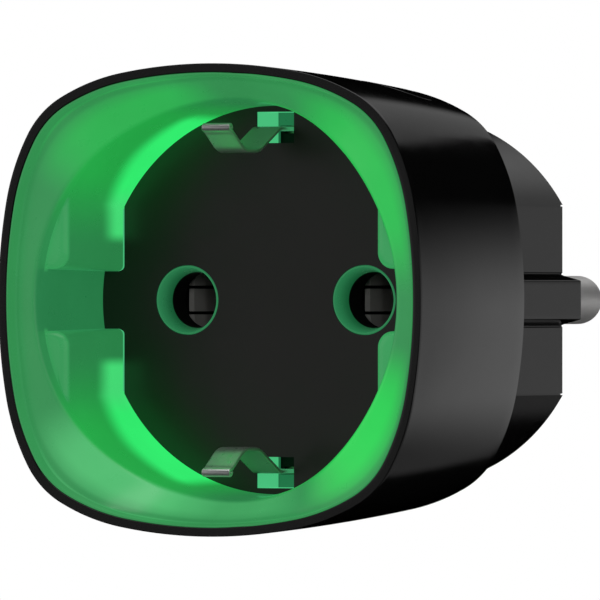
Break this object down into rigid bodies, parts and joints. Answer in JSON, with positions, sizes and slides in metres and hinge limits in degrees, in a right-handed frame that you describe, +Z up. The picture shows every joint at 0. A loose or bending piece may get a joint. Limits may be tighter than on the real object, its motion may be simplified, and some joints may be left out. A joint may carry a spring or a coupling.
{
  "type": "smart plug",
  "caption": "Square-round smart plug adaptor with a lit socket recess, earthing clips, a flat-sided plug boss with pins, a power button and its relay and boards inside.",
  "frame": {"origin": "centre of the rear seating face of the plug boss, midway between the two pins", "axes": "+Y into the wall socket along the pins, -Y out of the socket recess, +X towards the line pin, +Z up through the upper earthing clip"},
  "size_m": [0.045, 0.0655, 0.045],
  "materials": {
    "casing_gloss_black": "high gloss",
    "guide_translucent": "translucent, lit green from behind",
    "floor_black": "fine satin",
    "carrier_black": "moulded",
    "contact_brass": "stamped, tinned at the jaws",
    "cover_black": "semi gloss",
    "pin_nickel": "nickel plated, satin",
    "clip_steel": "nickel plated spring strip",
    "earth_brass": "stamped",
    "earth_nickel": "nickel plated",
    "rivet_steel": "plain",
    "screw_steel": "zinc plated",
    "board_white": "solder mask",
    "led_lit": "lit",
    "header_gold": "gold flash",
    "button_black": "gloss",
    "plunger_black": "moulded",
    "switch_black": "moulded",
    "board_green": "solder mask",
    "relay_black": "moulded",
    "bobbin_white": "moulded",
    "winding_copper": "enamelled wire",
    "yoke_steel": "plain",
    "arm_copper": "spring copper with silver contact",
    "radio_blue": "solder mask",
    "shield_tin": "tinned can",
    "capacitor_sleeve": "shrink sleeve",
    "ferrite": "ferrite",
    "varistor_blue": "epoxy dip",
    "resistor_green": "cement coat",
    "shunt_metal": "manganin strip",
    "chip_black": "moulded"
  },
  "bodies": {
    "housing": {"outer_casing": "casing_gloss_black", "light_guide": "guide_translucent", "socket_floor": "floor_black", "contact_carrier": "carrier_black", "line_contact": "contact_brass", "neutral_contact": "contact_brass", "rear_cover": "cover_black", "plug_pin_line": "pin_nickel", "plug_pin_neutral": "pin_nickel", "earth_strap": "earth_brass", "side_earth_contact_top": "earth_nickel", "side_earth_contact_bottom": "earth_nickel", "earth_rivets": "rivet_steel", "cover_screws": "screw_steel", "light_board": "board_white", "leds": "led_lit", "header_pins": "header_gold", "tactile_switch": "switch_black", "main_board": "board_green", "relay_case": "relay_black", "relay_base": "relay_black", "relay_bobbin": "bobbin_white", "relay_winding": "winding_copper", "relay_yoke": "yoke_steel", "relay_fixed_contact": "arm_copper", "radio_board": "radio_blue", "radio_shield": "shield_tin", "radio_antenna": "header_gold", "smoothing_capacitor": "capacitor_sleeve", "filter_inductor": "ferrite", "varistor": "varistor_blue", "fusible_resistor": "resistor_green", "current_shunt": "shunt_metal", "metering_chip": "chip_black", "rectifier": "chip_black"},
    "button": {"power_button": "button_black", "switch_plunger": "plunger_black"},
    "clip_top": {"earth_clip_top": "clip_steel"},
    "clip_bottom": {"earth_clip_bottom": "clip_steel"},
    "armature": {"relay_armature": "yoke_steel", "relay_contact_arm": "arm_copper"}
  },
  "joints": [
    {"name": "button_press", "type": "slide", "parent": "housing", "child": "button", "axis": [-0.2487, 0, -0.9686], "range_m": [0, 0.0003], "stiffness_N_per_m": 2000},
    {"name": "earth_clip_top_flex", "type": "hinge", "parent": "housing", "child": "clip_top", "pos_m": [0, -0.026, 0.0165], "axis": [-1, 0, 0], "range_deg": [0, 5], "stiffness_Nm_per_rad": 1},
    {"name": "earth_clip_bottom_flex", "type": "hinge", "parent": "housing", "child": "clip_bottom", "pos_m": [0, -0.026, -0.0165], "axis": [1, 0, 0], "range_deg": [0, 5], "stiffness_Nm_per_rad": 1},
    {"name": "relay_armature_hinge", "type": "hinge", "parent": "housing", "child": "armature", "pos_m": [0, -0.0205, 0.0011], "axis": [1, 0, 0], "range_deg": [0, 4], "stiffness_Nm_per_rad": 0.05}
  ]
}
